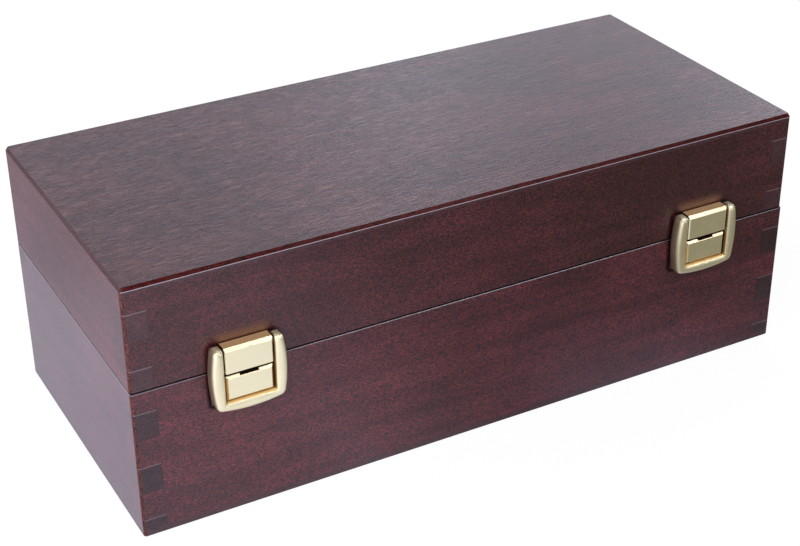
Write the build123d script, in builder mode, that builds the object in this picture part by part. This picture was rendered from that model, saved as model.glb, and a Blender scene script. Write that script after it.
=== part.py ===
from build123d import *

import os
from math import acos, atan2, degrees, radians, tan

# Wooden microphone box: a finger-jointed case with a hinged lid and two draw latches.
# Millimetres. +X runs along the length, -Y is the latch side, +Z is up. The origin is
# the centre of the bottom face, where the box stands.

# Wooden body
length = 300.0
depth = 133.0
base_height = 65.0
lid_height = 44.4
seam_gap = 0.1
lid_end_setback = 0.6
wall = 9.6
bottom_thickness = 3.0
top_thickness = 3.0
finger_height = 12.0
base_first_finger = 5.0
lid_first_finger = 9.9
base_corner_round = 1.2
lid_corner_round = 1.5
foot_ease = 0.5
seam_ease = 0.4
top_ease_across = 0.9
top_ease_down = 1.5

# Foam lining
foam_side_gap = 0.3
foam_floor_thickness = 10.0
foam_layer_gap = 0.2
insert_below_rim = 4.0
recess_length = 212.0
recess_width = 60.0
recess_end_round = 20.0
recess_depth = 44.0
finger_scoop_radius = 17.0
lid_pad_thickness = 31.0
foam_corner_round = 3.0

# Wood screws, one size for the hinges and the latches
screw_length = 9.0
screw_radius = 1.1
screw_head_radius = 2.0
screw_tip_length = 1.8
screw_slot_width = 0.5
screw_slot_depth = 0.5
screw_fit = 0.05

# Stop hinges on the back edge
hinge_inset = 60.0
hinge_length = 36.0
leaf_reach = 7.2
leaf_thickness = 2.4
barrel_radius = 1.5
barrel_standoff = 1.6
barrel_fit = 0.1
middle_knuckle = 12.0
knuckle_end_gap = 0.1
hinge_pin_radius = 0.8
pin_fit = 0.04
hinge_screw_spread = 22.0
mortise_fit = 0.05
lid_opening = 95.0
stop_slack = 1.0

# Draw latches on the front, their heights measured from the seam
latch_inset = 45.0
latch_width = 30.4
lever_end_width = 27.6
lever_below_seam = 15.9
lever_foot_rise = 1.5
lever_foot_round = 2.8
lever_arm_width = 3.6
lever_crossbar = 4.3
lever_back = 1.4
lever_front = 6.4
lever_edge_round = 1.3
lever_top_radius = 3.0
lever_top_flat = 0.25
lever_tip_outer_round = 2.0
lever_tip_inner_round = 1.4
lever_opening = 105.0
lever_axis_above_seam = 9.2
lever_pin_radius = 0.8
lever_pin_head_radius = 1.1
lever_pin_head = 0.3
lever_pin_grip = 1.0
pin_end_gap = 0.1

# Hasp, hinged on a pin between the lever's arms
hasp_side_gap = 0.5
hasp_inset = 0.6
hasp_skin = 1.3
hasp_top_bevel = 1.2
hasp_side_bevel = 0.5
hasp_over_centre = 0.6
hasp_axis_above_seam = 0.7
hasp_knuckle_radius = 1.4
hasp_knuckle_width = 7.4
hasp_stem_height = 2.6
hasp_pin_radius = 0.6
hasp_bottom_above_seam = 1.0
hasp_top_above_seam = 11.7
hasp_flange_thickness = 1.2
hasp_flange_back = 0.5

# Base plate under the lever, with a raised panel between the arms and an ear for each arm
plate_thickness = 1.0
plate_side_inset = 1.8
plate_foot_inset = 1.4
plate_top_below_seam = 0.6
plate_corner_round = 2.0
plate_screw_inset = 2.2
plate_screw_rise = 2.7
panel_inset = 1.0
panel_bevel = 0.9
panel_top_bevel = 1.4
panel_gap_below = 0.5
panel_top_below_seam = 0.1
panel_notch_width = 7.6
panel_notch_depth = 1.1
ear_thickness = 1.1
ear_arm_skin = 0.7
ear_side_gap = 0.1
ear_end_radius = 1.8
ear_slot_fit = 0.2
ear_root_below_seam = 7.0
ear_root_out = 2.8
ear_back_clearance = 0.5

# Catch on the lid, under the hasp's flange
catch_width = 14.0
catch_thickness = 1.0
catch_bottom_above_seam = 1.5
catch_front_gap = 0.9
catch_corner_round = 1.0
hook_gap = 0.1
catch_screw_spread = 8.0
catch_screw_above_seam = 5.0

# Places worked out from the sizes above
front = -depth / 2
back = depth / 2
left = -length / 2
right = length / 2
lid_bottom = base_height + seam_gap
lid_top = lid_bottom + lid_height
lid_right = right - lid_end_setback
frame_bottom = bottom_thickness
frame_top = lid_top - top_thickness
hinge_axis_y = back + barrel_standoff
hinge_axis_z = base_height + seam_gap / 2
hinge_centres = {"left": left + hinge_inset, "right": right - hinge_inset}
latch_centres = {"left": left + latch_inset, "right": right - latch_inset}
lever_axis_out = lever_front - lever_top_radius
lever_axis_z = base_height + lever_axis_above_seam
lever_opening_half = lever_end_width / 2 - lever_arm_width
lever_foot = base_height - lever_below_seam
lever_corner = lever_foot + lever_foot_rise
lever_opening_floor = lever_foot + lever_crossbar
lever_top = lever_axis_z + lever_top_radius - lever_top_flat
ear_inner = lever_opening_half + ear_arm_skin + ear_side_gap
ear_outer = ear_inner + ear_thickness
slot_inner = ear_inner - ear_side_gap
slot_outer = ear_outer + ear_side_gap
slot_reach = ear_end_radius + ear_slot_fit
slot_floor = base_height - ear_root_below_seam - ear_slot_fit
lever_pin_tip = slot_outer + lever_pin_grip
hasp_axis_out = lever_axis_out - hasp_over_centre
hasp_axis_z = base_height + hasp_axis_above_seam
hasp_half_width = lever_opening_half - hasp_side_gap
hasp_front = lever_front - hasp_inset
hasp_back = hasp_front - hasp_skin
hasp_bottom = base_height + hasp_bottom_above_seam
hasp_top = base_height + hasp_top_above_seam
hasp_flange_bottom = hasp_top - hasp_flange_thickness
hasp_pin_half = slot_inner - pin_end_gap
plate_half_width = latch_width / 2 - plate_side_inset
plate_bottom = lever_foot + plate_foot_inset
plate_top = base_height - plate_top_below_seam
panel_front = lever_front - panel_inset
panel_bottom = lever_opening_floor + panel_gap_below
panel_top = base_height - panel_top_below_seam
ear_root = base_height - ear_root_below_seam
ledge_top = hasp_flange_bottom - hook_gap
ledge_out = hasp_back - catch_front_gap
catch_bottom = base_height + catch_bottom_above_seam
screw_head_height = screw_head_radius - screw_radius
countersink_angle = 90

os.makedirs("parts", exist_ok=True)


def finish(builder, name):
    """Labels a finished piece and writes its file."""
    builder.part.label = name
    export_step(builder.part, f"parts/{name}.step")


def out_from_front(distance):
    """A drawing plane parallel to the front face: X across, Z up, drawn that far in front of it."""
    return Plane.XZ.offset(distance - front)


def across_at(x):
    """A drawing plane square to the length: its first axis is Y and its second is Z."""
    return Plane.YZ.offset(x)


def end_finger_bands(low, high, first):
    """Height bands in which the end panels' fingers reach through the corners."""
    bands = []
    start = low
    end = low + first
    while start < high:
        bands.append((start, min(end, high)))
        start = end + finger_height
        end = start + finger_height
    return bands


# The outer shape of the closed base and of the closed lid, which every board is cut from
with BuildPart() as base_envelope:
    with BuildSketch():
        RectangleRounded(length, depth, base_corner_round)
    extrude(amount=base_height)
    chamfer(base_envelope.edges().group_by(Axis.Z)[-1], seam_ease)
    chamfer(base_envelope.edges().group_by(Axis.Z)[0], foot_ease)

with BuildPart() as lid_envelope:
    with BuildSketch(Plane.XY.offset(lid_bottom)):
        with Locations(((left + lid_right) / 2, 0)):
            RectangleRounded(lid_right - left, depth, lid_corner_round)
    extrude(amount=lid_height)
    chamfer(lid_envelope.edges().group_by(Axis.Z)[0], seam_ease)
    top_face = lid_envelope.faces().sort_by(Axis.Z)[-1]
    chamfer(top_face.edges(), top_ease_across, top_ease_down, reference=top_face)


def long_panel(envelope, side, low, high, first, right_end):
    """A front (side -1) or back (side 1) board, notched at both ends for the end boards' fingers."""
    with BuildPart() as panel:
        with BuildSketch(Plane.XY.offset(low)):
            with Locations(((left + right_end) / 2, side * (depth - wall) / 2)):
                Rectangle(right_end - left, wall)
        extrude(amount=high - low)
        for start, end in end_finger_bands(low, high, first):
            for x in (left + wall / 2, right_end - wall / 2):
                with Locations((x, side * (depth - wall) / 2, (start + end) / 2)):
                    Box(wall, wall, end - start, mode=Mode.SUBTRACT)
        add(envelope.part, mode=Mode.INTERSECT)
    return panel


def end_panel(envelope, outer, side, low, high, first):
    """A left (side -1) or right (side 1) end board, with fingers that reach to the front and back."""
    with BuildPart() as panel:
        with BuildSketch(Plane.XY.offset(low)):
            with Locations((outer - side * wall / 2, 0)):
                Rectangle(wall, depth - 2 * wall)
        extrude(amount=high - low)
        for start, end in end_finger_bands(low, high, first):
            with Locations((outer - side * wall / 2, 0, (start + end) / 2)):
                Box(wall, depth, end - start)
        add(envelope.part, mode=Mode.INTERSECT)
    return panel


def flat_panel(envelope, low, high):
    """A thin board over or under a frame."""
    with BuildPart() as panel:
        with BuildSketch(Plane.XY.offset(low)):
            Rectangle(length, depth)
        extrude(amount=high - low)
        add(envelope.part, mode=Mode.INTERSECT)
    return panel


# Places of the screws: where each head's face lies, and the turn that points its tip into the wood
turn_down = (0, 0, 0)
turn_up = (180, 0, 0)
turn_inward = (90, 0, 0)
hinge_screw_y = back - leaf_reach / 2
hinge_screw_x = [c + s * hinge_screw_spread / 2 for c in hinge_centres.values() for s in (-1, 1)]
plate_screw_reach = plate_half_width - plate_screw_inset
plate_screw_x = [c + s * plate_screw_reach for c in latch_centres.values() for s in (-1, 1)]
catch_screw_x = [c + s * catch_screw_spread / 2 for c in latch_centres.values() for s in (-1, 1)]
plate_screw_z = plate_bottom + plate_screw_rise
catch_screw_z = base_height + catch_screw_above_seam
base_hinge_screws = [Location((x, hinge_screw_y, base_height), turn_down) for x in hinge_screw_x]
lid_hinge_screws = [Location((x, hinge_screw_y, lid_bottom), turn_up) for x in hinge_screw_x]
plate_screws = [Location((x, front - plate_thickness, plate_screw_z), turn_inward) for x in plate_screw_x]
catch_screws = [Location((x, front - catch_thickness, catch_screw_z), turn_inward) for x in catch_screw_x]


def drill_pilots(places):
    """Cuts the screws' holes in the board being made."""
    with Locations(*places):
        Hole(screw_radius + screw_fit, screw_length + screw_fit)


def cut_mortises(low, high):
    """Cuts the pockets for the hinge leaves in the back board being made."""
    for centre in hinge_centres.values():
        pocket_length = hinge_length + 2 * mortise_fit
        pocket_depth = leaf_reach + mortise_fit
        with Locations((centre, back - pocket_depth / 2, (low + high) / 2)):
            Box(pocket_length, pocket_depth, high - low, mode=Mode.SUBTRACT)


# Base boards
with BuildPart() as base_front_panel:
    add(long_panel(base_envelope, -1, frame_bottom, base_height, base_first_finger, right).part)
    drill_pilots(plate_screws)
finish(base_front_panel, "base_front_panel")

with BuildPart() as base_back_panel:
    add(long_panel(base_envelope, 1, frame_bottom, base_height, base_first_finger, right).part)
    cut_mortises(base_height - leaf_thickness, base_height)
    drill_pilots(base_hinge_screws)
finish(base_back_panel, "base_back_panel")

base_left_panel = end_panel(base_envelope, left, -1, frame_bottom, base_height, base_first_finger)
finish(base_left_panel, "base_left_panel")

base_right_panel = end_panel(base_envelope, right, 1, frame_bottom, base_height, base_first_finger)
finish(base_right_panel, "base_right_panel")

base_bottom_panel = flat_panel(base_envelope, 0, frame_bottom)
finish(base_bottom_panel, "base_bottom_panel")

# Lid boards
with BuildPart() as lid_front_panel:
    add(long_panel(lid_envelope, -1, lid_bottom, frame_top, lid_first_finger, lid_right).part)
    drill_pilots(catch_screws)
finish(lid_front_panel, "lid_front_panel")

with BuildPart() as lid_back_panel:
    add(long_panel(lid_envelope, 1, lid_bottom, frame_top, lid_first_finger, lid_right).part)
    cut_mortises(lid_bottom, lid_bottom + leaf_thickness)
    drill_pilots(lid_hinge_screws)
finish(lid_back_panel, "lid_back_panel")

lid_left_panel = end_panel(lid_envelope, left, -1, lid_bottom, frame_top, lid_first_finger)
finish(lid_left_panel, "lid_left_panel")

lid_right_panel = end_panel(lid_envelope, lid_right, 1, lid_bottom, frame_top, lid_first_finger)
finish(lid_right_panel, "lid_right_panel")

lid_top_panel = flat_panel(lid_envelope, frame_top, lid_top)
finish(lid_top_panel, "lid_top_panel")


# Foam lining
foam_length = length - 2 * wall - 2 * foam_side_gap
foam_depth = depth - 2 * wall - 2 * foam_side_gap
insert_bottom = frame_bottom + foam_floor_thickness + foam_layer_gap
insert_top = base_height - insert_below_rim
recess_floor = insert_top - recess_depth

with BuildPart() as base_foam_floor:
    with BuildSketch(Plane.XY.offset(frame_bottom)):
        RectangleRounded(foam_length, foam_depth, foam_corner_round)
    extrude(amount=foam_floor_thickness)
finish(base_foam_floor, "base_foam_floor")

with BuildPart() as base_foam_insert:
    with BuildSketch(Plane.XY.offset(insert_bottom)):
        RectangleRounded(foam_length, foam_depth, foam_corner_round)
    extrude(amount=insert_top - insert_bottom)
    with BuildSketch(Plane.XY.offset(recess_floor)):
        RectangleRounded(recess_length, recess_width, recess_end_round)
        with Locations((0, -recess_width / 2), (0, recess_width / 2)):
            Circle(finger_scoop_radius)
    extrude(amount=recess_depth, mode=Mode.SUBTRACT)
finish(base_foam_insert, "base_foam_insert")

with BuildPart() as lid_foam_pad:
    with BuildSketch(Plane.XY.offset(frame_top - lid_pad_thickness)):
        with Locations(((left + lid_right) / 2, 0)):
            RectangleRounded(foam_length - lid_end_setback, foam_depth, foam_corner_round)
    extrude(amount=lid_pad_thickness)
finish(lid_foam_pad, "lid_foam_pad")


# Screws: one countersunk, slotted wood screw, its head's face at the origin and its tip down
with BuildPart() as wood_screw:
    with BuildSketch(Plane.XZ):
        with BuildLine():
            Polyline(
                (0, 0),
                (screw_head_radius, 0),
                (screw_radius, -screw_head_height),
                (screw_radius, -screw_length + screw_tip_length),
                (0, -screw_length),
                close=True,
            )
        make_face()
    revolve(axis=Axis.Z)
    with Locations((0, 0, -screw_slot_depth / 2)):
        Box(2 * screw_head_radius, screw_slot_width, screw_slot_depth, mode=Mode.SUBTRACT)


def screw_group(places, name):
    """Several separate screws of one kind, in one node."""
    with BuildPart() as group:
        with Locations(*places):
            add(wood_screw.part)
    finish(group, name)


screw_group(base_hinge_screws, "hinge_screws_base")
screw_group(lid_hinge_screws, "hinge_screws_lid")
screw_group(plate_screws, "latch_plate_screws")
screw_group(catch_screws, "latch_catch_screws")


def countersunk_holes(places, thickness):
    """Cuts the holes of a screwed plate or leaf in the piece being made."""
    with Locations(*places):
        CounterSinkHole(
            screw_radius + screw_fit,
            screw_head_radius + screw_fit,
            depth=thickness + screw_fit,
            counter_sink_angle=countersink_angle,
        )


# Stop hinges: thick leaves whose bevelled heels meet behind the barrel when the lid is fully open
heel_angle = radians(180 - (lid_opening + stop_slack) / 2)
leaf_from_axis = leaf_thickness + seam_gap / 2
heel_near = -seam_gap / 2 / tan(heel_angle)
heel_far = -leaf_from_axis / tan(heel_angle)


def barrel_piece(radius, start, end, mode=Mode.ADD):
    """A cylinder on the hinge axis, from one X to another."""
    with Locations(((start + end) / 2, hinge_axis_y, hinge_axis_z)):
        Cylinder(radius, end - start, rotation=(0, 90, 0), mode=mode)


def hinge_leaf(centre, up, screws):
    """A leaf with its knuckles: the base's points down (up -1) with two, the lid's up (1) with one."""
    start = centre - hinge_length / 2
    end = centre + hinge_length / 2
    middle_start = centre - middle_knuckle / 2
    middle_end = centre + middle_knuckle / 2
    outer_spans = [(start, middle_start), (middle_end, end)]
    middle_spans = [(middle_start, middle_end)]
    own, other = (middle_spans, outer_spans) if up > 0 else (outer_spans, middle_spans)
    face = hinge_axis_z + up * seam_gap / 2
    with BuildPart() as leaf:
        with BuildSketch(across_at(start)):
            with BuildLine():
                Polyline(
                    (back - leaf_reach, face),
                    (hinge_axis_y + heel_near, face),
                    (hinge_axis_y + heel_far, face + up * leaf_thickness),
                    (back - leaf_reach, face + up * leaf_thickness),
                    close=True,
                )
            make_face()
        extrude(amount=hinge_length)
        for low, high in own:
            inner_low = low + (knuckle_end_gap if low > start else 0)
            inner_high = high - (knuckle_end_gap if high < end else 0)
            barrel_piece(barrel_radius, inner_low, inner_high)
        for low, high in other:
            barrel_piece(barrel_radius + barrel_fit, low, high, mode=Mode.SUBTRACT)
        bore = hinge_pin_radius + (pin_fit if up > 0 else 0)
        barrel_piece(bore, start, end, mode=Mode.SUBTRACT)
        countersunk_holes(screws, leaf_thickness)
    return leaf


def screws_near(places, centre, reach):
    """The screws that lie within reach of a hinge's or latch's centre."""
    return [place for place in places if abs(place.position.X - centre) < reach]


for side, centre in hinge_centres.items():
    base_screws = screws_near(base_hinge_screws, centre, hinge_length)
    lid_screws = screws_near(lid_hinge_screws, centre, hinge_length)
    finish(hinge_leaf(centre, -1, base_screws), f"hinge_{side}_base_leaf")
    finish(hinge_leaf(centre, 1, lid_screws), f"hinge_{side}_lid_leaf")
    with BuildPart() as hinge_pin:
        barrel_piece(hinge_pin_radius, centre - hinge_length / 2, centre + hinge_length / 2)
    finish(hinge_pin, f"hinge_{side}_pin")


def outward(distance):
    """The Y of a point that far in front of the front face."""
    return front - distance


def pivot_piece(radius, axis_out, axis_z, start, end, mode=Mode.ADD):
    """A cylinder along X on a latch pivot, from one X to another."""
    with Locations(((start + end) / 2, outward(axis_out), axis_z)):
        Cylinder(radius, end - start, rotation=(0, 90, 0), mode=mode)


def block(x_span, out_span, z_span, mode=Mode.ADD):
    """A box from its spans in X, in front of the front face, and in Z."""
    x_low, x_high = x_span
    out_low, out_high = out_span
    z_low, z_high = z_span
    with Locations(((x_low + x_high) / 2, outward((out_low + out_high) / 2), (z_low + z_high) / 2)):
        Box(x_high - x_low, out_high - out_low, z_high - z_low, mode=mode)


def lever_frame_outline(centre):
    """The U of the lever's frame: a convex foot and sides, and two arms round the opening."""
    half_end = lever_end_width / 2
    half_wide = latch_width / 2
    with BuildLine() as line:
        ThreePointArc(
            (centre - half_end, lever_corner),
            (centre, lever_foot),
            (centre + half_end, lever_corner),
        )
        for side in (-1, 1):
            outer = centre + side * half_end
            inner = centre + side * lever_opening_half
            widest = (centre + side * half_wide, (lever_corner + lever_top) / 2)
            ThreePointArc((outer, lever_corner), widest, (outer, lever_top))
            Line((outer, lever_top), (inner, lever_top))
            Line((inner, lever_top), (inner, lever_opening_floor))
        Line(
            (centre - lever_opening_half, lever_opening_floor),
            (centre + lever_opening_half, lever_opening_floor),
        )
    return line.line


def lever_side_profile():
    """The lever's side view: straight front and back, and a top that is round about its pivot."""
    back_angle = degrees(acos((lever_axis_out - lever_back) / lever_top_radius))
    with BuildLine() as line:
        arc = CenterArc((outward(lever_axis_out), lever_axis_z), lever_top_radius, 180, back_angle - 180)
        Polyline(
            arc @ 1,
            (outward(lever_back), lever_foot - lever_foot_rise),
            (outward(lever_front), lever_foot - lever_foot_rise),
            arc @ 0,
        )
    return line.line


def ear_slot_profile():
    """The slot in an arm's back that the ear turns through, up to the lever's full opening."""
    behind = outward(lever_axis_out - lever_top_radius)
    flare = atan2(lever_axis_out - ear_end_radius - ear_back_clearance, lever_axis_z - plate_top)
    turn = lever_opening + degrees(flare)
    slope = tan(radians(turn - 90))
    with BuildLine() as line:
        arc = CenterArc((outward(lever_axis_out), lever_axis_z), slot_reach, 180, turn - 180)
        Polyline(
            arc @ 1,
            (behind, (arc @ 1).Y + (behind - (arc @ 1).X) * slope),
            (behind, slot_floor),
            (outward(lever_axis_out + slot_reach), slot_floor),
            arc @ 0,
        )
    return line.line


def lever_body(centre):
    """The lever: a U-shaped frame, its rim rounded before its arms' tops are turned down."""
    with BuildPart() as lever:
        with BuildSketch(out_from_front(lever_back)) as outline:
            add(lever_frame_outline(centre))
            make_face()
            fillet(outline.vertices().sort_by(Axis.Y)[:2], lever_foot_round)
            tips = outline.vertices().group_by(Axis.Y)[-1].sort_by(Axis.X)
            fillet([tips[0], tips[-1]], lever_tip_outer_round)
            fillet(outline.vertices().group_by(Axis.Y)[-1].sort_by(Axis.X)[1:3], lever_tip_inner_round)
        extrude(amount=lever_front - lever_back)
        fillet(lever.faces().sort_by(Axis.Y)[0].edges(), lever_edge_round)
        with BuildSketch(across_at(centre - latch_width)):
            add(lever_side_profile())
            make_face()
        extrude(amount=2 * latch_width, mode=Mode.INTERSECT)
        # The slots that the ears stand in, and the bores of the pivot pins and of the hasp's pin
        for side in (-1, 1):
            slot_start, slot_end = sorted((centre + side * slot_inner, centre + side * slot_outer))
            with BuildSketch(across_at(slot_start)):
                add(ear_slot_profile())
                make_face()
            extrude(amount=slot_end - slot_start, mode=Mode.SUBTRACT)
            inner_wall = centre + side * lever_opening_half
            pin_span = sorted((inner_wall, centre + side * lever_pin_tip))
            pivot_piece(lever_pin_radius, lever_axis_out, lever_axis_z, *pin_span, mode=Mode.SUBTRACT)
            wall_span = sorted((inner_wall, centre + side * slot_inner))
            pivot_piece(hasp_pin_radius, hasp_axis_out, hasp_axis_z, *wall_span, mode=Mode.SUBTRACT)
    return lever


def lever_pins(centre):
    """The two headed pivot pins of a lever, fast in its arms and turning in the ears."""
    with BuildPart() as pins:
        for side in (-1, 1):
            inner_wall = centre + side * lever_opening_half
            shank_span = sorted((inner_wall, centre + side * lever_pin_tip))
            head_span = sorted((inner_wall, inner_wall - side * lever_pin_head))
            pivot_piece(lever_pin_radius, lever_axis_out, lever_axis_z, *shank_span)
            pivot_piece(lever_pin_head_radius, lever_axis_out, lever_axis_z, *head_span)
    return pins


def hasp_body(centre):
    """The hasp: a bevelled panel with a flange that hooks over the catch, and a knuckle below."""
    knuckle_start = centre - hasp_knuckle_width / 2
    knuckle_end = centre + hasp_knuckle_width / 2
    bevelled_edges = (
        (Axis.X, 0, hasp_side_bevel),
        (Axis.X, -1, hasp_side_bevel),
        (Axis.Z, -1, hasp_top_bevel),
    )
    with BuildPart() as hasp:
        x_span = (centre - hasp_half_width, centre + hasp_half_width)
        block(x_span, (hasp_back, hasp_front), (hasp_bottom, hasp_top))
        for axis, place, bevel in bevelled_edges:
            front_edges = hasp.faces().sort_by(Axis.Y)[0].edges()
            chamfer(front_edges.sort_by(axis)[place], bevel)
        block(x_span, (hasp_flange_back, hasp_back), (hasp_flange_bottom, hasp_top))
        with BuildSketch(across_at(knuckle_start)):
            with BuildLine():
                Polyline(
                    (outward(hasp_axis_out), hasp_axis_z + hasp_knuckle_radius),
                    (outward(hasp_back), hasp_bottom + hasp_stem_height),
                    (outward(hasp_back), hasp_bottom),
                    (outward(hasp_axis_out + hasp_knuckle_radius), hasp_axis_z),
                    (outward(hasp_axis_out), hasp_axis_z),
                    close=True,
                )
            make_face()
        extrude(amount=hasp_knuckle_width)
        pivot_piece(hasp_knuckle_radius, hasp_axis_out, hasp_axis_z, knuckle_start, knuckle_end)
        bore = hasp_pin_radius + pin_fit
        pivot_piece(bore, hasp_axis_out, hasp_axis_z, knuckle_start, knuckle_end, mode=Mode.SUBTRACT)
    return hasp


def base_plate(centre, screws):
    """The plate screwed to the base: a raised panel notched for the hasp's knuckle, and two ears."""
    bevelled_edges = (
        (Axis.X, 0, panel_bevel),
        (Axis.X, -1, panel_bevel),
        (Axis.Z, 0, panel_bevel),
        (Axis.Z, -1, panel_top_bevel),
    )
    with BuildPart() as plate:
        half_notch = panel_notch_width / 2
        x_span = (centre - hasp_half_width, centre + hasp_half_width)
        block(x_span, (0, panel_front), (panel_bottom, panel_top))
        for axis, place, bevel in bevelled_edges:
            front_edges = plate.faces().sort_by(Axis.Y)[0].edges()
            chamfer(front_edges.sort_by(axis)[place], bevel)
        block(
            (centre - half_notch, centre + half_notch),
            (0, panel_front),
            (panel_top - panel_notch_depth, panel_top),
            mode=Mode.SUBTRACT,
        )
        with BuildSketch(out_from_front(0)):
            with Locations((centre, (plate_bottom + plate_top) / 2)):
                RectangleRounded(2 * plate_half_width, plate_top - plate_bottom, plate_corner_round)
        extrude(amount=plate_thickness)
        for side in (-1, 1):
            ear_start, ear_end = sorted((centre + side * ear_inner, centre + side * ear_outer))
            with BuildSketch(across_at(ear_start)):
                with BuildLine():
                    arc = CenterArc((outward(lever_axis_out), lever_axis_z), ear_end_radius, 180, -180)
                    Polyline(
                        arc @ 1,
                        (outward(ear_back_clearance), plate_top),
                        (outward(0), plate_top),
                        (outward(0), ear_root),
                        (outward(ear_root_out), ear_root),
                        arc @ 0,
                    )
                make_face()
            extrude(amount=ear_thickness)
            bore = lever_pin_radius + pin_fit
            pivot_piece(bore, lever_axis_out, lever_axis_z, ear_start, ear_end, mode=Mode.SUBTRACT)
        countersunk_holes(screws, plate_thickness)
    return plate


def catch_body(centre, screws):
    """The catch screwed to the lid: a plate with a ledge along its top that the hasp pulls down on."""
    with BuildPart() as catch:
        with BuildSketch(out_from_front(0)):
            with Locations((centre, (catch_bottom + ledge_top) / 2)):
                RectangleRounded(catch_width, ledge_top - catch_bottom, catch_corner_round)
        extrude(amount=catch_thickness)
        x_span = (centre - catch_width / 2, centre + catch_width / 2)
        block(x_span, (0, ledge_out), (ledge_top - catch_thickness, ledge_top))
        countersunk_holes(screws, catch_thickness)
    return catch


for side, centre in latch_centres.items():
    finish(lever_body(centre), f"latch_{side}_lever")
    finish(lever_pins(centre), f"latch_{side}_lever_pins")
    finish(hasp_body(centre), f"latch_{side}_hasp")
    with BuildPart() as hasp_pin:
        pivot_piece(hasp_pin_radius, hasp_axis_out, hasp_axis_z, centre - hasp_pin_half, centre + hasp_pin_half)
    finish(hasp_pin, f"latch_{side}_hasp_pin")
    finish(base_plate(centre, screws_near(plate_screws, centre, latch_width)), f"latch_{side}_base_plate")
    finish(catch_body(centre, screws_near(catch_screws, centre, latch_width)), f"latch_{side}_catch")
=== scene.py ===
import math

import bpy
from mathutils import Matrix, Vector, noise


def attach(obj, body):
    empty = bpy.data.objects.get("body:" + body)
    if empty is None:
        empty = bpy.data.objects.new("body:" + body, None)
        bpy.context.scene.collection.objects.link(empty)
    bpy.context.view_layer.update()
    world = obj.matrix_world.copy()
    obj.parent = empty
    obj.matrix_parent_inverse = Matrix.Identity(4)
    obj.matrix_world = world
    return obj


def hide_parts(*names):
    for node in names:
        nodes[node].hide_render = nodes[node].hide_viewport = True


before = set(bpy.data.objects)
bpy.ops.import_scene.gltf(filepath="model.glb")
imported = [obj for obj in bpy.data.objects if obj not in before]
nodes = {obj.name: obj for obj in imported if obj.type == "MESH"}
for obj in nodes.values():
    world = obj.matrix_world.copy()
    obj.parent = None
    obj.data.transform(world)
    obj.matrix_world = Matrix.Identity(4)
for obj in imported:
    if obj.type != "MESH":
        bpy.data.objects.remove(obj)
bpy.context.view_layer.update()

# Wooden microphone box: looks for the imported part. Metres, in the part's own frame.
# +X runs along the length, -Y is the latch side, +Z is up.

# Camera, at the photograph's view
CAMERA_PLACE = (-0.30576, -0.56183, 0.40794)
CAMERA_TURN = (60.145, 0.454, -28.598)
CAMERA_LENS = 76.31
SENSOR_WIDTH = 36.0

camera_data = bpy.data.cameras.new("camera")
camera_data.lens = CAMERA_LENS
camera_data.sensor_width = SENSOR_WIDTH
camera = bpy.data.objects.new("camera", camera_data)
camera.location = CAMERA_PLACE
camera.rotation_euler = [math.radians(turn) for turn in CAMERA_TURN]
bpy.context.scene.collection.objects.link(camera)
bpy.context.scene.camera = camera
bpy.context.scene.view_settings.view_transform = "Standard"


# A fleck's random value, from 0 to 1, is drawn into this range
FLECK_RANGE = (0.36, 0.66)


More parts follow.
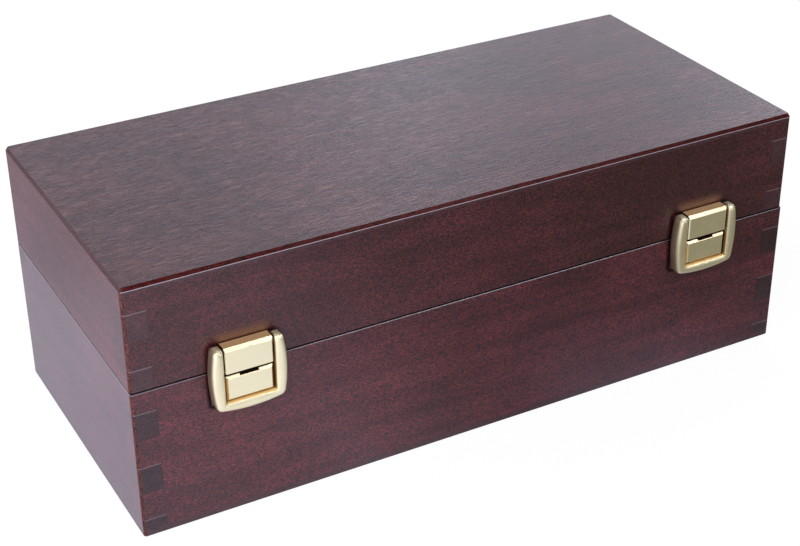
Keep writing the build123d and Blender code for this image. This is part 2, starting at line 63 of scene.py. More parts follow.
class Shader:
    """A material's node tree, with short calls for the nodes that the materials here use."""

    def __init__(self, name):
        self.material = bpy.data.materials.new(name)
        self.material.use_nodes = True
        self.tree = self.material.node_tree
        self.tree.nodes.clear()
        self.output = self.node("ShaderNodeOutputMaterial")

    def node(self, kind, settings=None, **inputs):
        made = self.tree.nodes.new(kind)
        for key, value in (settings or {}).items():
            setattr(made, key, value)
        for key, value in inputs.items():
            self.feed(made.inputs[key.replace("_", " ")], value)
        return made

    def feed(self, socket, value):
        if isinstance(value, bpy.types.NodeSocket):
            self.tree.links.new(value, socket)
        else:
            socket.default_value = value

    def coords(self, kind):
        return self.node("ShaderNodeTexCoord").outputs[kind]

    def scaled(self, vector, scale, shift=(0, 0, 0)):
        made = self.node("ShaderNodeMapping", Vector=vector, Scale=scale, Location=shift)
        return made.outputs["Vector"]

    def noise(self, vector, scale, detail, roughness=0.5, distortion=0.0):
        made = self.node(
            "ShaderNodeTexNoise",
            Vector=vector, Scale=scale, Detail=detail, Roughness=roughness, Distortion=distortion,
        )
        return made.outputs["Fac"]

    def flecks(self, vector):
        """Small cells with a random value each, drawn towards the middle of the range."""
        cells = self.node("ShaderNodeTexVoronoi", {"feature": "F1"}, Vector=vector, Scale=1.0)
        value = self.parts(cells.outputs["Color"])["X"]
        return self.ramp(value, 0.0, 1.0, *FLECK_RANGE, smooth=False)

    def math(self, operation, a, b=0.0):
        made = self.node("ShaderNodeMath", {"operation": operation})
        self.feed(made.inputs[0], a)
        self.feed(made.inputs[1], b)
        return made.outputs[0]

    def times(self, first, *others):
        """The product of two or more values."""
        for other in others:
            first = self.math("MULTIPLY", first, other)
        return first

    def size(self, value):
        """A value without its sign."""
        return self.math("ABSOLUTE", value)

    def ramp(self, value, low, high, to_low=0.0, to_high=1.0, smooth=True):
        kind = "SMOOTHSTEP" if smooth else "LINEAR"
        made = self.node("ShaderNodeMapRange", {"interpolation_type": kind})
        self.feed(made.inputs["Value"], value)
        limits = {"From Min": low, "From Max": high, "To Min": to_low, "To Max": to_high}
        for key, number in limits.items():
            made.inputs[key].default_value = number
        return made.outputs["Result"]

    def fall(self, value, low, high):
        """1 below the low end, and 0 above the high one."""
        return self.ramp(value, low, high, 1.0, 0.0)

    def stops(self, value, colours):
        """A colour along a value from 0 to 1, through the given places and colours."""
        made = self.node("ShaderNodeValToRGB")
        self.feed(made.inputs["Fac"], value)
        elements = made.color_ramp.elements
        for number, (place, colour) in enumerate(colours):
            element = elements[number] if number < 2 else elements.new(place)
            element.position = place
            element.color = (*colour, 1)
        return made.outputs["Color"]

    def mix(self, factor, a, b, blend="MIX"):
        made = self.node("ShaderNodeMix", {"data_type": "RGBA", "blend_type": blend})
        self.feed(made.inputs[0], factor)
        self.feed(made.inputs[6], a if isinstance(a, bpy.types.NodeSocket) else (*a, 1))
        self.feed(made.inputs[7], b if isinstance(b, bpy.types.NodeSocket) else (*b, 1))
        return made.outputs[2]

    def mix_value(self, factor, a, b):
        made = self.node("ShaderNodeMix", {"data_type": "FLOAT"})
        for place, value in ((0, factor), (2, a), (3, b)):
            self.feed(made.inputs[place], value)
        return made.outputs[0]

    def grey(self, value):
        return self.node("ShaderNodeCombineColor", Red=value, Green=value, Blue=value).outputs[0]

    def parts(self, vector):
        made = self.node("ShaderNodeSeparateXYZ")
        self.feed(made.inputs[0], vector)
        return made.outputs

    def bump(self, height, strength, distance, normal=None):
        made = self.node("ShaderNodeBump", Strength=strength, Distance=distance)
        self.feed(made.inputs["Height"], height)
        if normal is not None:
            self.feed(made.inputs["Normal"], normal)
        return made.outputs["Normal"]

    def mix_shader(self, factor, first, second):
        made = self.node("ShaderNodeMixShader")
        self.feed(made.inputs[0], factor)
        self.tree.links.new(first.outputs[0], made.inputs[1])
        self.tree.links.new(second.outputs[0], made.inputs[2])
        return made

    def surface(self, made):
        self.tree.links.new(made.outputs[0], self.output.inputs["Surface"])

    def principled(self, **inputs):
        self.surface(self.node("ShaderNodeBsdfPrincipled", **inputs))


# Wood: dark red-brown stain under a satin lacquer. Each look has the two ends of its tone, how far
# its fibres are stretched, the scale of its fibres and specks, the shares of both, the range that
# goes from dark to light, how strong its clouds and its figure are, its relief and its lacquer.
LOOKS = {
    "top": dict(
        dark=(0.026, 0.0095, 0.013), light=(0.142, 0.042, 0.045), stretch=8.0, fibre=2000, fine=2200,
        streak=0.70, speck=0.30, low=0.40, high=0.61, cloud=0.14, figure=0.20, relief=0.95, coat=1.0,
    ),
    "lid_front": dict(
        dark=(0.014, 0.0055, 0.0090), light=(0.119, 0.0200, 0.025), stretch=2.0, fibre=2600, fine=3300,
        streak=0.25, speck=0.75, low=0.455, high=0.60, cloud=0.14, figure=0.14, relief=0.70, coat=1.0,
    ),
    "base_front": dict(
        dark=(0.018, 0.0070, 0.012), light=(0.160, 0.0250, 0.033), stretch=2.0, fibre=2600, fine=3300,
        streak=0.25, speck=0.75, low=0.455, high=0.60, cloud=0.16, figure=0.18, relief=0.70, coat=1.0,
    ),
    "lid_end": dict(
        dark=(0.040, 0.010, 0.013), light=(0.120, 0.034, 0.040), stretch=1.5, fibre=1500, fine=1500,
        streak=0.35, speck=0.65, low=0.37, high=0.63, cloud=0.20, figure=0.14, relief=0.95, coat=0.7,
    ),
    "base_end": dict(
        dark=(0.042, 0.011, 0.015), light=(0.116, 0.034, 0.044), stretch=1.5, fibre=1500, fine=1500,
        streak=0.35, speck=0.65, low=0.37, high=0.63, cloud=0.16, figure=0.12, relief=0.90, coat=1.0,
    ),
    "end_grain": dict(
        dark=(0.024, 0.012, 0.017), light=(0.084, 0.024, 0.031), stretch=1.5, fibre=2000, fine=2300,
        streak=0.50, speck=0.50, low=0.38, high=0.64, cloud=0.12, figure=0.10, relief=0.40, coat=1.0,
    ),
    "base_end_grain": dict(
        dark=(0.013, 0.006, 0.009), light=(0.064, 0.020, 0.027), stretch=1.5, fibre=2400, fine=3300,
        streak=0.40, speck=0.60, low=0.42, high=0.62, cloud=0.12, figure=0.10, relief=0.60, coat=1.0,
    ),
    "corner": dict(
        dark=(0.022, 0.006, 0.006), light=(0.150, 0.048, 0.044), stretch=2.0, fibre=2200, fine=2600,
        streak=0.30, speck=0.70, low=0.40, high=0.62, cloud=0.10, figure=0.0, relief=0.50, coat=0.5,
    ),
    "edge": dict(
        dark=(0.016, 0.002, 0.002), light=(0.085, 0.006, 0.006), stretch=2.0, fibre=1500, fine=1150,
        streak=0.30, speck=0.70, low=0.37, high=0.63, cloud=0.10, figure=0.0, relief=0.50, coat=0.35,
    ),
    "side_edge": dict(
        dark=(0.030, 0.010, 0.014), light=(0.080, 0.022, 0.028), stretch=2.0, fibre=1500, fine=1150,
        streak=0.30, speck=0.70, low=0.37, high=0.63, cloud=0.10, figure=0.0, relief=0.50, coat=0.35,
    ),
}

# How the grain's patterns are drawn out and moved for each board, and what they do to tone and relief
FIBRE_STRETCH = 2.0
SPECK_STRETCH = 1.6
FLECK_SHARE = 0.55
FIGURE_SCALE = 95.0
FIGURE_STRETCH = 10.0
CLOUD_SCALE = 17.0
SEED_STEPS = (1.7, 2.3, 0.9)
FIGURE_RANGE = (0.36, 0.64)
CLOUD_RANGE = (0.34, 0.66)
RELIEF_RANGE = (0.36, 0.60)

X, Y, Z = 0, 1, 2


def grain_of(s, look, grain, seed):
    """The colour and the surface height of one look, with its grain along one of the axes."""
    place = s.coords("Object")
    shift = tuple(seed * step for step in SEED_STEPS)

    def drawn_out(scale, stretch):
        sizes = [scale] * 3
        sizes[grain] = scale / stretch
        return s.scaled(place, sizes, shift)

    fibre_size = drawn_out(look["fibre"], FIBRE_STRETCH * look["stretch"])
    fibres = s.noise(fibre_size, 1.0, detail=3.0, roughness=0.6, distortion=0.4)
    specks = s.noise(drawn_out(look["fine"], SPECK_STRETCH), 1.0, detail=2.0, roughness=0.65)
    specks = s.mix_value(FLECK_SHARE, specks, s.flecks(drawn_out(look["fine"], SPECK_STRETCH)))
    blend = s.math("ADD", s.times(fibres, look["streak"]), s.times(specks, look["speck"]))
    figure_size = drawn_out(FIGURE_SCALE, FIGURE_STRETCH)
    figure = s.noise(figure_size, 1.0, detail=3.0, roughness=0.55, distortion=0.8)
    cloud = s.noise(drawn_out(CLOUD_SCALE, 1.0), 1.0, detail=2.0, distortion=0.6)
    colour = s.mix(s.ramp(blend, look["low"], look["high"]), look["dark"], look["light"])
    shade = s.math(
        "ADD",
        s.ramp(figure, *FIGURE_RANGE, -look["figure"], look["figure"]),
        s.ramp(cloud, *CLOUD_RANGE, 1.0 - look["cloud"], 1.0 + look["cloud"]),
    )
    colour = s.mix(1.0, colour, s.grey(shade), "MULTIPLY")
    return colour, s.times(s.ramp(blend, *RELIEF_RANGE), look["relief"])


# Where a surface counts as facing an axis, and which parts of the eased edges have which look
FACING = (0.55, 0.75)
ROUNDED = (0.90, 0.99)
SIDEWAYS = (0.5, 0.8)
SLOPING = (0.2, 0.4)
STANDING = (0.15, 0.35)
UPRIGHT = (0.85, 0.95)
# The outer faces, and the bands of painted highlight and painted shade at the seam on them
OUTER_ENDS = (0.1480, 0.1490)
OUTER_FRONT = (0.0645, 0.0655)
SEAM_HEIGHT = 0.06505
SEAM_CLEAR = (0.0006, 0.0008)
SEAM_HIGHLIGHT_FROM = (0.06450, 0.06460)
SEAM_HIGHLIGHT_TO = (0.0652, 0.0653)
SEAM_HIGHLIGHT = (0.16, 0.13, 0.16)
SEAM_SHADE_FROM = (0.06476, 0.06484)
SEAM_SHADE_TO = (0.06558, 0.06572)
SEAM_SHADE = (0.003, 0.002, 0.003)
SEAM_COAT = 0.05
# A painted highlight under the thin top board's edge, and glue lines over each finger end and where
# the finger ends stop
LINE_CORE = 0.4
EDGE_HIGHLIGHT_HEIGHT = 0.10795
EDGE_HIGHLIGHT_HALF = 0.00022
EDGE_HIGHLIGHT_SHARE = 0.75
EDGE_HIGHLIGHT_TONE = (0.38, 0.33, 0.38)
LINE_UNDER_TOP = 0.0002
LINE_HALF = 0.00030
LINE_SHARE = 0.45
LINE_TONE = (0.24, 0.18, 0.22)
FINGER_END = 0.1405
JOINT_HALF = 0.0004
JOINT_SHARE = 0.6
JOINT_TONE = (0.020, 0.004, 0.005)
# The latches' outline on the front, and the ring along it where no light gets in beside them
LATCH_PLACE = 0.105
LATCH_MIDDLE = 0.0629
LATCH_CORE = (0.0130, 0.0118)
LATCH_ROUND = 0.0020
RING_FROM = (-0.0016, -0.0006)
RING_TO = (-0.0004, 0.0013)
RING_ON_BASE = 0.80
RING_ON_LID = 0.45
# Where the lacquer over a latch is warmed by the light off its brass
GLOW_HEIGHT = (0.0764, 0.0775, 0.0820)
GLOW_HALF = (0.0080, 0.0130)
GLOW_TONE = (0.22, 0.10, 0.05)
GLOW_SHARE = 0.42
# The lacquer and the relief under it
COAT_ROUGHNESS = 0.28
WOOD_ROUGHNESS = 0.55
WOOD_BUMP = 0.5
WOOD_BUMP_DEPTH = 0.00010


def facing(s, axis):
    """1 where the surface faces along an axis, to either side."""
    return s.ramp(s.size(s.parts(s.coords("Normal"))["XYZ"[axis]]), *FACING)


def line_at(s, value, centres, half):
    """1 on thin lines at the given places along one coordinate."""
    total = None
    for centre in centres:
        line = s.fall(s.size(s.math("SUBTRACT", value, centre)), half * LINE_CORE, half)
        total = line if total is None else s.math("MAXIMUM", total, line)
    return total


def from_latch_centre(s, place):
    """How far a point lies to the side of the nearest latch's centre line."""
    return s.size(s.math("SUBTRACT", s.size(place["X"]), LATCH_PLACE))


def latch_distance(s, place):
    """The distance from the outline of the nearest latch, seen from the front."""
    side = s.math("MAXIMUM", s.math("SUBTRACT", from_latch_centre(s, place), LATCH_CORE[0]), 0.0)
    above = s.size(s.math("SUBTRACT", place["Z"], LATCH_MIDDLE))
    above = s.math("MAXIMUM", s.math("SUBTRACT", above, LATCH_CORE[1]), 0.0)
    squares = s.math("ADD", s.math("POWER", side, 2.0), s.math("POWER", above, 2.0))
    return s.math("SUBTRACT", s.math("SQRT", squares), LATCH_ROUND)


def board(name, seed, faces, base, lines):
    """A board's material: a look for each way it faces, rubbed edges, a seam and glue lines."""
    s = Shader(name)
    look, grain = base
    colour, height = grain_of(s, LOOKS[look], grain, seed)
    coat = LOOKS[look]["coat"]
    for axis, look, grain in faces:
        mask = facing(s, axis)
        other, other_height = grain_of(s, LOOKS[look], grain, seed + axis)
        colour = s.mix(mask, colour, other)
        height = s.mix_value(mask, height, other_height)
        coat = s.mix_value(mask, coat, LOOKS[look]["coat"])
    place = s.parts(s.coords("Object"))
    normal_parts = s.parts(s.coords("Normal"))
    turned = {axis: s.size(normal_parts[axis]) for axis in "XYZ"}

    # The eased edges: one look along the box, one across it and one up its corners
    fourths = [s.math("POWER", turned[axis], 4.0) for axis in "XYZ"]
    flatness = s.math("ADD", s.math("ADD", fourths[0], fourths[1]), fourths[2])
    from_seam = s.size(s.math("SUBTRACT", place["Z"], SEAM_HEIGHT))
    rubbed = s.times(s.fall(flatness, *ROUNDED), s.ramp(from_seam, *SEAM_CLEAR))
    edge, edge_height = grain_of(s, LOOKS["edge"], X, seed + 5)
    side_edge = grain_of(s, LOOKS["side_edge"], Y, seed + 6)[0]
    corner = grain_of(s, LOOKS["corner"], Z, seed + 7)[0]
    sideways = s.times(s.ramp(turned["X"], *SIDEWAYS), s.ramp(turned["Z"], *SLOPING))
    edge_colour = s.mix(s.fall(turned["Z"], *STANDING), s.mix(sideways, edge, side_edge), corner)
    colour = s.mix(rubbed, colour, edge_colour)
    height = s.mix_value(rubbed, height, edge_height)
    coat = s.mix_value(rubbed, coat, LOOKS["edge"]["coat"])

    # The seam: a painted highlight on the base's eased edge below it, and painted shade over all above
    # it
    at_end = s.ramp(s.size(place["X"]), *OUTER_ENDS)
    at_front = s.ramp(s.size(place["Y"]), *OUTER_FRONT)
    outside = s.times(s.math("MAXIMUM", at_end, at_front), s.fall(turned["Z"], *UPRIGHT))
    pale = s.times(s.ramp(place["Z"], *SEAM_HIGHLIGHT_FROM), s.fall(place["Z"], *SEAM_HIGHLIGHT_TO), outside)
    dark = s.times(s.ramp(place["Z"], *SEAM_SHADE_FROM), s.fall(place["Z"], *SEAM_SHADE_TO), outside)
    colour = s.mix(pale, colour, SEAM_HIGHLIGHT)
    colour = s.mix(dark, colour, SEAM_SHADE)
    coat = s.mix_value(dark, coat, SEAM_COAT)

    # The painted highlight under the top edge, and the glue lines, on what faces the front or the back
    to_front = facing(s, Y)
    edge_highlight = line_at(s, place["Z"], [EDGE_HIGHLIGHT_HEIGHT], EDGE_HIGHLIGHT_HALF)
    colour = s.mix(s.times(edge_highlight, to_front, EDGE_HIGHLIGHT_SHARE), colour, EDGE_HIGHLIGHT_TONE)
    if lines:
        thin = line_at(s, place["Z"], [top - LINE_UNDER_TOP for top in lines], LINE_HALF)
        colour = s.mix(s.times(thin, to_front, LINE_SHARE), colour, LINE_TONE)
        joint = line_at(s, s.size(place["X"]), [FINGER_END], JOINT_HALF)
        colour = s.mix(s.times(joint, to_front, JOINT_SHARE), colour, JOINT_TONE)

    # Round each latch: a painted glow of the light off its brass over it, and painted shade in a ring
    # along its outline
    if "front" in name:
        low, full, high = GLOW_HEIGHT
        glow = s.times(s.ramp(place["Z"], low, full), s.fall(place["Z"], full, high))
        glow = s.times(glow, s.fall(from_latch_centre(s, place), *GLOW_HALF), outside)
        colour = s.mix(s.times(glow, GLOW_SHARE), colour, GLOW_TONE)
        away = latch_distance(s, place)
        ring = s.times(s.ramp(away, *RING_FROM), s.fall(away, *RING_TO), outside)
        ring_share = RING_ON_LID if "lid" in name else RING_ON_BASE
        unshaded = s.math("SUBTRACT", 1.0, s.times(ring, ring_share))
        colour = s.mix(1.0, colour, s.grey(unshaded), "MULTIPLY")
        coat = s.times(coat, unshaded)

    normal = s.bump(height, WOOD_BUMP, WOOD_BUMP_DEPTH)
    s.principled(
        Base_Color=colour,
        Roughness=WOOD_ROUGHNESS,
        Specular_IOR_Level=0.0,
        Normal=normal,
        Coat_Weight=coat,
        Coat_Roughness=COAT_ROUGHNESS,
        Coat_Normal=normal,
    )
    return s.material


# Brass: its two tones, its fine relief, and a polished gloss mixed with a satin one
BRASS_DEEP = (0.92, 0.82, 0.56)
BRASS_PALE = (0.97, 0.88, 0.63)
BRASS_CLOUD_SCALE = 160.0
BRASS_GRIT_SCALE = 5200.0
BRASS_BRUSH = (5200.0, 5200.0, 420.0)
BRUSH_SHARE = 0.7
BRASS_BUMP = 0.06
BRASS_BUMP_DEPTH = 0.00002
POLISH_RANGE = (0.3, 0.7)
POLISH_ROUGHNESS = (0.30, 0.36)
SATIN_ROUGHNESS = 0.72
SATIN_SHARE = 0.25
SATIN_ON_TOP = 0.75
SATIN_TOP_FROM = (0.80, 0.95)
LEVER_EASED = 0.0028
EASED_SAMPLES = 6
# Painted shade in the brass's gaps, and painted reflections on its slopes, its tops and down its sides
BEVEL_REFLECTION = (0.62, 0.50, 0.33)
TOP_REFLECTION = (1.0, 0.74, 0.42)
SIDE_REFLECTION = (0.66, 0.54, 0.36)
REFLECTED_GOLD = (0.90, 0.64, 0.30)
SHADE_BROWN = (0.26, 0.15, 0.06)
NOTCH_SHADE = (0.060, 0.034, 0.014)
SHADE_BLACK = (0.020, 0.012, 0.006)
# Where those tones lie: by how the surface is turned, by height, and from the latch's centre line
LEVER_WALLS = (0.6, 0.9)
LEVER_INNER_HALF = (0.0105, 0.0109)
LEVER_OUTER_HALF = (0.0120, 0.0130)
SHELF_TURNED = (0.6, 0.9)
SHELF_TOP = (0.0540, 0.0544)
HASP_SIDES = (0.8, 0.95)
HASP_FOOT = (0.06590, 0.06610)
SLOPE_FROM = (0.35, 0.55)
TOP_FROM = (0.85, 0.95)
PANEL_SIDES = (0.4, 0.6)
PANEL_TOP = 0.0644
NOTCH_FLOOR = 0.0637
NOTCH_HALF = (0.0038, 0.0040)
PLATE_FACE = -0.0680
MASK_SOFT = 0.0001


def brass(name, painted_tones=None, eased=0.0):
    """Pale brass with a satin polish: a narrow sheen over a broad soft one, with painted shade in its
    gaps and painted reflections, where given.
    """
    s = Shader(name)
    place = s.coords("Object")
    normal_parts = s.parts(s.coords("Normal"))
    cloud = s.noise(place, BRASS_CLOUD_SCALE, detail=2.0)
    brushed = s.noise(s.scaled(place, BRASS_BRUSH), 1.0, detail=2.0)
    grit = s.noise(place, BRASS_GRIT_SCALE, detail=1.0)
    colour = s.mix(cloud, BRASS_DEEP, BRASS_PALE)
    if painted_tones:
        for mask, tone in painted_tones(s, s.parts(place), normal_parts):
            colour = s.mix(mask, colour, tone)
    height = s.math("ADD", s.times(brushed, BRUSH_SHARE), s.times(grit, 1.0 - BRUSH_SHARE))
    rounded = None
    if eased:
        rounded = s.node("ShaderNodeBevel", {"samples": EASED_SAMPLES}, Radius=eased).outputs["Normal"]
    metal = dict(
        Base_Color=colour, Metallic=1.0, Normal=s.bump(height, BRASS_BUMP, BRASS_BUMP_DEPTH, rounded)
    )
    roughness = s.ramp(cloud, *POLISH_RANGE, *POLISH_ROUGHNESS)
    polish = s.node("ShaderNodeBsdfPrincipled", Roughness=roughness, **metal)
    satin = s.node("ShaderNodeBsdfPrincipled", Roughness=SATIN_ROUGHNESS, **metal)
    s.surface(s.mix_shader(
        s.ramp(normal_parts["Z"], *SATIN_TOP_FROM, SATIN_SHARE, SATIN_ON_TOP), polish, satin
    ))
    return s.material


def above_height(s, value, height):
    """1 above a height and 0 below it."""
    return s.ramp(value, height - MASK_SOFT, height + MASK_SOFT)


def lever_painted_light(s, place, normal):
    """Painted shade on the lever's inner walls, painted reflected light on its crossbar under the
    panel, and a painted reflection down its outer sides.
    """
    aside = from_latch_centre(s, place)
    walls = s.ramp(s.size(normal["X"]), *LEVER_WALLS)
    inner = s.times(walls, s.fall(aside, *LEVER_INNER_HALF))
    outer = s.times(walls, s.ramp(aside, *LEVER_OUTER_HALF))
    shelf = s.times(s.ramp(normal["Z"], *SHELF_TURNED), s.fall(place["Z"], *SHELF_TOP))
    return [(outer, SIDE_REFLECTION), (inner, SHADE_BROWN), (shelf, REFLECTED_GOLD)]


def hasp_painted_light(s, place, normal):
    """Painted reflections on the hasp's sloping edge and its top, and painted shade on its sides and
    its knuckle.
    """
    slope = s.times(s.ramp(normal["Z"], *SLOPE_FROM), s.fall(normal["Z"], *TOP_FROM))
    top = s.ramp(normal["Z"], *TOP_FROM)
    sides = s.ramp(s.size(normal["X"]), *HASP_SIDES)
    below = s.fall(place["Z"], *HASP_FOOT)
    return [(slope, BEVEL_REFLECTION), (top, TOP_REFLECTION), (sides, SHADE_BLACK), (below, SHADE_BLACK)]


def plate_painted_light(s, place, normal):
    """Painted shade along the raised panel's top, in its notch and over the plate's flat, painted
    reflections on its slopes and painted reflected light down its sides.
    """
    slope = s.ramp(normal["Z"], *SLOPE_FROM)
    sides = s.ramp(s.size(normal["X"]), *PANEL_SIDES)
    top = above_height(s, place["Z"], PANEL_TOP)
    in_notch = s.fall(from_latch_centre(s, place), *NOTCH_HALF)
    notch = s.times(above_height(s, place["Z"], NOTCH_FLOOR), in_notch)
    flat = above_height(s, place["Y"], PLATE_FACE)
    return [
        (slope, BEVEL_REFLECTION),
        (sides, REFLECTED_GOLD),
        (top, SHADE_BLACK),
        (notch, NOTCH_SHADE),
        (flat, SHADE_BROWN),
    ]


# Foam: the tones of its pores and its ground, and how far its patches vary
PORE_SCALE = 900.0
PORE_EDGE = (0.10, 0.45)
PORE_TONE = (0.007, 0.007, 0.008)
FOAM_DEEP = (0.020, 0.020, 0.022)
FOAM_PALE = (0.048, 0.047, 0.050)
FOAM_GRAIN_SCALE = 2400.0
FOAM_PATCH_SCALE = 38.0
FOAM_PATCH_RANGE = (0.3, 0.7)
FOAM_PATCH_TONES = (0.85, 1.15)
PORE_SHARE = 0.7
FOAM_BUMP = 0.7
FOAM_BUMP_DEPTH = 0.0004


def open_cell_foam(name):
    """Charcoal open-cell foam: small dark pores in a slightly uneven matt ground."""
    s = Shader(name)
    place = s.coords("Object")
    pores = s.node("ShaderNodeTexVoronoi", {"feature": "F1"}, Vector=place, Scale=PORE_SCALE)
    hollow = s.ramp(pores.outputs["Distance"], *PORE_EDGE)
    grain = s.noise(place, FOAM_GRAIN_SCALE, detail=2.0, roughness=0.7)
    patch = s.noise(place, FOAM_PATCH_SCALE, detail=2.0)
    colour = s.mix(hollow, PORE_TONE, s.mix(grain, FOAM_DEEP, FOAM_PALE))
    patches = s.ramp(patch, *FOAM_PATCH_RANGE, *FOAM_PATCH_TONES)
    colour = s.mix(1.0, colour, s.grey(patches), "MULTIPLY")
    height = s.math("ADD", s.times(hollow, PORE_SHARE), s.times(grain, 1.0 - PORE_SHARE))
    s.principled(
        Base_Color=colour,
        Roughness=0.95,
        Specular_IOR_Level=0.2,
        Sheen_Weight=0.15,
        Normal=s.bump(height, FOAM_BUMP, FOAM_BUMP_DEPTH),
    )
    return s.material


def dress(node, material):
    """Gives a carried-over CAD node its material."""
    data = nodes[node].data
    data.materials.clear()
    data.materials.append(material)


brass_material = brass("brass")
latch_brass = {
    "_lever": brass("brass_lever", lever_painted_light, LEVER_EASED),
    "_hasp": brass("brass_hasp", hasp_painted_light),
    "_base_plate": brass("brass_plate", plate_painted_light),
}
foam_material = open_cell_foam("foam")

# Finger ends of the end boards that show on the front and back: the heights of their top edges
BASE_FINGER_TOPS = (0.0080, 0.0320, 0.0560)
LID_FINGER_TOPS = (0.0749, 0.0986)
# Each board's main look with its grain, its other looks as (facing axis, look, grain), and finger tops
LONG_BASE = (("base_front", X), [(X, "base_end", Y)], None)
SHORT_BASE = (("base_end", Y), [(Y, "base_end_grain", X)], BASE_FINGER_TOPS)
LONG_LID = (("lid_front", X), [(X, "lid_end", Y)], None)
SHORT_LID = (("lid_end", Y), [(Y, "end_grain", X)], LID_FINGER_TOPS)
WOOD = {
    "base_front_panel": LONG_BASE,
    "base_back_panel": LONG_BASE,
    "base_left_panel": SHORT_BASE,
    "base_right_panel": SHORT_BASE,
    "base_bottom_panel": (("end_grain", X), [], None),
    "lid_front_panel": LONG_LID,
    "lid_back_panel": LONG_LID,
    "lid_left_panel": SHORT_LID,
    "lid_right_panel": SHORT_LID,
    "lid_top_panel": (("top", X), [(Y, "end_grain", X), (X, "lid_end", Y)], None),
}
for seed, (node, (base, faces, lines)) in enumerate(WOOD.items()):
    dress(node, board(node + "_wood", seed + 1.0, faces, base, lines))
for name in nodes:
    if name not in WOOD and "foam" not in name:
        ending = name.removeprefix("latch_left").removeprefix("latch_right")
        dress(name, latch_brass.get(ending, brass_material))


# Foam blocks: each is remeshed from its solid, drawn in a little, and swollen as pressed cloth
FOAM_VOXEL = 0.004
FOAM_DRAWN_IN = 0.0011
FOAM_PRESSURE = 4.0
FOAM_FRAMES = 20
FOAM_SWELL_CAP = 0.0009
FOAM_UNEVENNESS = 0.00012
FOAM_WAVES = 180.0


def baked(piece):
    """The piece's mesh with its modifiers worked in."""
    graph = bpy.context.evaluated_depsgraph_get()
    return bpy.data.meshes.new_from_object(piece.evaluated_get(graph))


def with_modifier(piece, kind, **settings):
    """Works one modifier into the piece's own mesh."""
    modifier = piece.modifiers.new(kind.lower(), kind)
    for key, value in settings.items():
        setattr(modifier, key, value)
    mesh = baked(piece)
    piece.modifiers.clear()
    piece.data = mesh


def push(piece, amount):
    """Moves each point along its normal, by an amount that depends on its place."""
    normals = [vertex.normal.copy() for vertex in piece.data.vertices]
    for vertex, normal in zip(piece.data.vertices, normals):
        vertex.co += normal * amount(vertex.co)


def swell(piece):
    """Blows the piece up as closed cloth, and lets no point move further than the cap."""
    start = [vertex.co.copy() for vertex in piece.data.vertices]
    cloth = piece.modifiers.new("cloth", "CLOTH")
    cloth.settings.use_pressure = True
    cloth.settings.uniform_pressure_force = FOAM_PRESSURE
    cloth.settings.effector_weights.gravity = 0.0
    cloth.point_cache.frame_start = 1
    cloth.point_cache.frame_end = FOAM_FRAMES
    for number in range(1, FOAM_FRAMES + 1):
        bpy.context.scene.frame_set(number)
    mesh = baked(piece)
    piece.modifiers.clear()
    for vertex, before in zip(mesh.vertices, start):
        step = vertex.co - before
        if step.length > FOAM_SWELL_CAP:
            vertex.co = before + step.normalized() * FOAM_SWELL_CAP
    piece.data = mesh
    bpy.context.scene.frame_set(1)


def foam_block(node, body):
    """A foam piece in the place of its solid."""
    piece = bpy.data.objects.new(node + "_soft", nodes[node].data.copy())
    bpy.context.scene.collection.objects.link(piece)
    with_modifier(piece, "REMESH", mode="VOXEL", voxel_size=FOAM_VOXEL)
    push(piece, lambda place: -FOAM_DRAWN_IN)
    swell(piece)
    with_modifier(piece, "SUBSURF", levels=1)
    push(piece, lambda place: FOAM_UNEVENNESS * noise.noise(place * FOAM_WAVES))
    piece.data.materials.clear()
    piece.data.materials.append(foam_material)
    for polygon in piece.data.polygons:
        polygon.use_smooth = True
    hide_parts(node)
    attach(piece, body)


foam_block("base_foam_floor", "base")
foam_block("base_foam_insert", "base")
foam_block("lid_foam_pad", "lid")

# Floor: white to the camera with the object's soft shadow kept, and to mirrors a row of painted light
# and shade along the box, pale at its left and dark at its right
FLOOR_COLOUR = (0.80, 0.80, 0.80, 1.0)
FLOOR_HALF = 6.0
FLOOR_HEIGHT = -0.0002
FLOOR_WHITE = 1.12
FLOOR_SHARE = 0.80
FLOOR_LEVEL = 1.45
FLOOR_STOPS = (
    (-0.250, (1.00, 1.01, 1.20)),
    (-0.150, (1.04, 1.05, 1.27)),
    (-0.120, (1.09, 1.11, 1.27)),
    (-0.090, (0.99, 1.01, 1.09)),
    (-0.052, (1.12, 1.19, 1.42)),
    (-0.041, (0.93, 0.97, 1.08)),
    (0.030, (0.31, 0.30, 0.30)),
    (0.080, (0.16, 0.15, 0.12)),
    (0.140, (0.11, 0.10, 0.035)),
)
# Beyond the box's left end, mirrors see painted shade on the floor, darker towards the back
BESIDE = (-0.21, -0.18)
FLOOR_BACK = (0.08, 0.18, 1.32, 0.50)
# Along the box's foot at the front, mirrors see painted light on the floor, less so towards the right
FOOT_DEPTH = (-0.125, -0.070)
FOOT_BEHIND = (-0.06, -0.04)
FOOT_ALONG = (0.0, 0.06)
FOOT_FADE = (0.09, 0.15)
FOOT_LAST = 0.45
FOOT_PAST = (0.17, 0.21)
FOOT_TONE = (0.50, 0.53, 0.66)


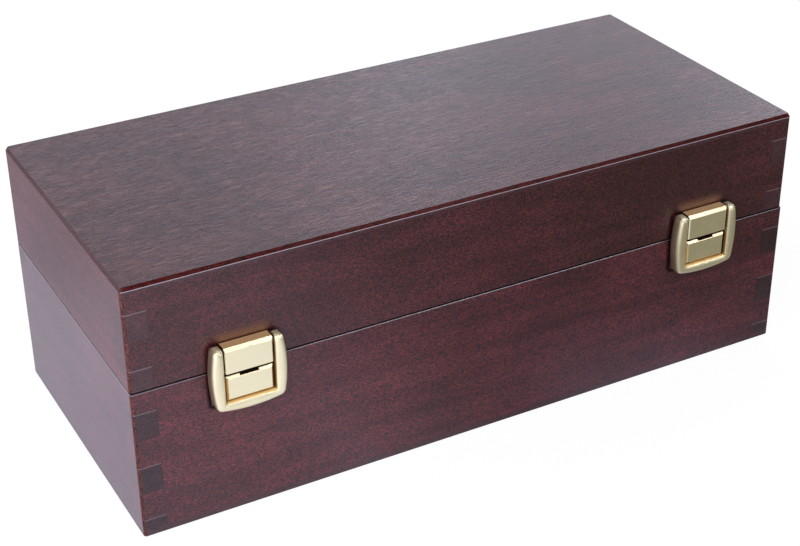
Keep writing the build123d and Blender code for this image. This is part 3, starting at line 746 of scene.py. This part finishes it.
def floor_material(name):
    """A pale diffuse floor under a white one that only the camera and mirrors see."""
    s = Shader(name)
    rays = s.node("ShaderNodeLightPath").outputs
    place = s.parts(s.coords("Object"))
    first, last = FLOOR_STOPS[0][0], FLOOR_STOPS[-1][0]
    stops = [
        ((along - first) / (last - first), [part / FLOOR_LEVEL for part in tone])
        for along, tone in FLOOR_STOPS
    ]
    mirrored = s.stops(s.ramp(place["X"], first, last, smooth=False), stops)
    foot = s.times(
        s.ramp(place["Y"], *FOOT_DEPTH, smooth=False),
        s.fall(place["Y"], *FOOT_BEHIND),
        s.ramp(place["X"], *FOOT_ALONG),
        s.ramp(place["X"], *FOOT_FADE, 1.0, FOOT_LAST),
        s.fall(place["X"], *FOOT_PAST),
    )
    mirrored = s.mix(foot, mirrored, FOOT_TONE)
    level = s.mix_value(s.fall(place["X"], *BESIDE), 1.0, s.ramp(place["Y"], *FLOOR_BACK))
    level = s.times(level, FLOOR_LEVEL)
    lit = s.node("ShaderNodeBsdfDiffuse", Color=FLOOR_COLOUR)
    white = s.node(
        "ShaderNodeEmission",
        Color=s.mix(rays["Is Camera Ray"], mirrored, (1, 1, 1)),
        Strength=s.mix_value(rays["Is Camera Ray"], level, FLOOR_WHITE),
    )
    mirror_rays = s.math("MAXIMUM", rays["Is Glossy Ray"], rays["Is Transmission Ray"])
    shown = s.math("MAXIMUM", rays["Is Camera Ray"], mirror_rays)
    s.surface(s.mix_shader(s.times(shown, FLOOR_SHARE), lit, white))
    return s.material


floor_mesh = bpy.data.meshes.new("floor")
floor_corners = [
    (x * FLOOR_HALF, y * FLOOR_HALF, FLOOR_HEIGHT) for x, y in ((-1, -1), (1, -1), (1, 1), (-1, 1))
]
floor_mesh.from_pydata(floor_corners, [], [(0, 1, 2, 3)])
floor_mesh.materials.append(floor_material("floor"))
floor = bpy.data.objects.new("floor", floor_mesh)
bpy.context.scene.collection.objects.link(floor)

# Lamps: soft boxes with their place, size, power in watts, tint and the point that they face
LAMP_TINT = (0.970, 1.0, 1.04)
BACK_TINT = (0.970, 1.0, 1.15)
LAMPS = {
    "key": ((-1.05, 0.75, 0.60), (1.2, 1.1), 13.5, LAMP_TINT, (0.0, 0.0, 0.05)),
    "front_left": ((-0.45, -0.42, 0.22), (0.5, 0.4), 2.8, LAMP_TINT, (-0.10, -0.07, 0.03)),
    "over_front": ((0.585, -0.79, 1.03), (0.42, 0.42), 7.2, LAMP_TINT, (0.0, -0.07, 0.065)),
    "low_front": ((0.52, -1.08, 0.22), (0.45, 0.16), 0.7, LAMP_TINT, (0.0, -0.07, 0.05)),
    "back_right": ((0.95, 1.05, 0.50), (0.9, 0.7), 2.7, BACK_TINT, (0.05, 0.0, 0.10)),
    "back_left": ((0.30, 1.30, 0.75), (0.9, 0.7), 2.8, BACK_TINT, (0.0, 0.0, 0.10)),
    "right_back": ((1.25, 0.70, 0.50), (0.8, 0.7), 2.0, BACK_TINT, (0.05, 0.0, 0.10)),
}
SKY_STRENGTH = 0.09

for name, (place, size, power, tint, aim) in LAMPS.items():
    data = bpy.data.lights.new(name, "AREA")
    data.shape = "RECTANGLE"
    data.size, data.size_y = size
    data.energy = power
    data.color = tint
    lamp = bpy.data.objects.new(name, data)
    lamp.location = place
    lamp.rotation_euler = (Vector(aim) - Vector(place)).to_track_quat("-Z", "Y").to_euler()
    lamp.visible_camera = False
    bpy.context.scene.collection.objects.link(lamp)

# World: a weak sky for light, and plain white to the camera
world = bpy.data.worlds.new("world")
bpy.context.scene.world = world
world.use_nodes = True
sky_nodes, sky_links = world.node_tree.nodes, world.node_tree.links
sky = sky_nodes["Background"]
sky.inputs["Color"].default_value = (*LAMP_TINT, 1)
sky.inputs["Strength"].default_value = SKY_STRENGTH
plain = sky_nodes.new("ShaderNodeBackground")
plain.inputs["Color"].default_value = (1, 1, 1, 1)
plain.inputs["Strength"].default_value = 1.0
sky_rays = sky_nodes.new("ShaderNodeLightPath")
sky_mix = sky_nodes.new("ShaderNodeMixShader")
sky_links.new(sky_rays.outputs["Is Camera Ray"], sky_mix.inputs[0])
sky_links.new(sky.outputs[0], sky_mix.inputs[1])
sky_links.new(plain.outputs[0], sky_mix.inputs[2])
sky_links.new(sky_mix.outputs[0], sky_nodes["World Output"].inputs["Surface"])
